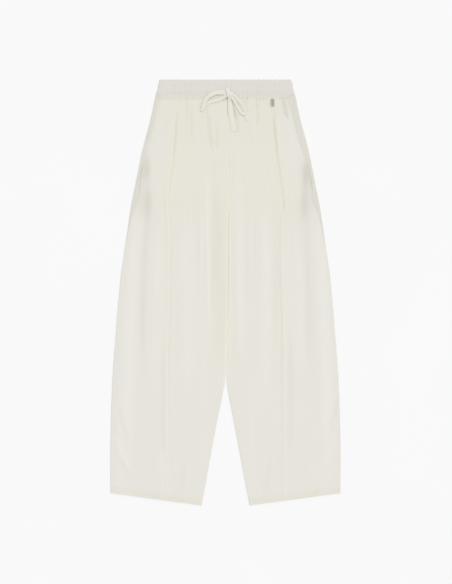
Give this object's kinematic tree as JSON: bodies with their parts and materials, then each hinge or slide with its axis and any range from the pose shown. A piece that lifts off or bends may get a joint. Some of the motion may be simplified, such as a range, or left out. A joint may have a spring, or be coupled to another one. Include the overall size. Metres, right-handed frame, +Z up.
{
  "type": "cropped palazzo pants",
  "caption": "Wide cropped trousers lying flat, front up: gathered elastic waistband with a bowed drawstring, long front pleats, side pockets, slanted hems",
  "frame": {"origin": "on the surface that the garment lies on, under the middle of its outline", "axes": "+Z up out of the front, +Y along the garment towards the waistband, +X towards the wearer's left"},
  "size_m": [0.5296, 0.9789, 0.0129],
  "materials": {
    "cloth": "smooth matt crepe, ivory",
    "waistband": "the same crepe gathered over elastic",
    "drawstring": "flat tie of the same crepe",
    "metal": "dark satin metal"
  },
  "bodies": {
    "root": {"front_right": "cloth", "front_left": "cloth", "back_right": "cloth", "back_left": "cloth", "pocket_facing_right": "cloth", "pocket_facing_left": "cloth", "waistband_front": "waistband", "waistband_back": "waistband", "drawstring_knot": "drawstring", "drawstring_loop_left": "drawstring", "drawstring_loop_right": "drawstring", "drawstring_tail_centre": "drawstring", "drawstring_tail_side": "drawstring", "metal_tab": "metal"}
  },
  "joints": []
}
